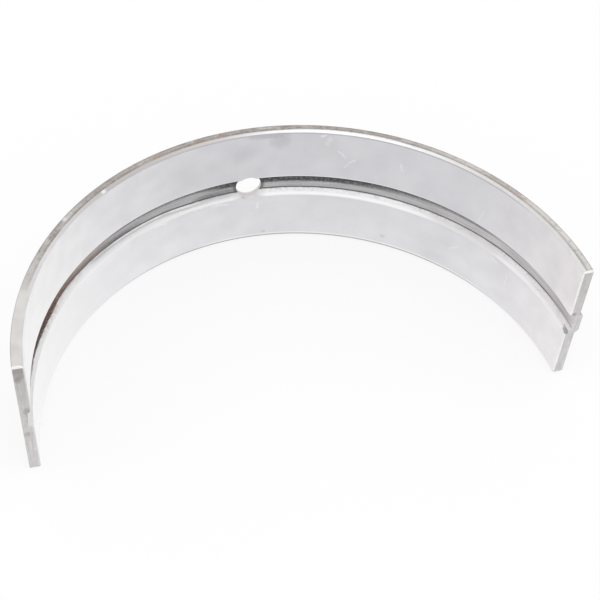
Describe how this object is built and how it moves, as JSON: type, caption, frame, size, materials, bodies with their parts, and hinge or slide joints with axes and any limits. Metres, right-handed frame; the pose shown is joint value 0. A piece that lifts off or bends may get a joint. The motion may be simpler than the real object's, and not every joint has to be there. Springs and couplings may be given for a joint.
{
  "type": "engine bearing shell",
  "caption": "Half-round crankshaft bearing shell: thin metal wall with bevelled rims, an oil groove along the bore, an oil hole at the crown and a locating lug at a joint face.",
  "frame": {"origin": "on the bearing axis, halfway along the shell's width", "axes": "+Z along the bearing axis and up as the shell stands on a rim, +Y from the axis to the crown with the oil hole, +X towards the joint face with the locating lug"},
  "size_m": [0.1255, 0.061, 0.0344],
  "materials": {
    "bearing_shell": "satin, bored and broached, with light wear and stains"
  },
  "bodies": {
    "root": {"bearing_shell": "bearing_shell"}
  },
  "joints": []
}
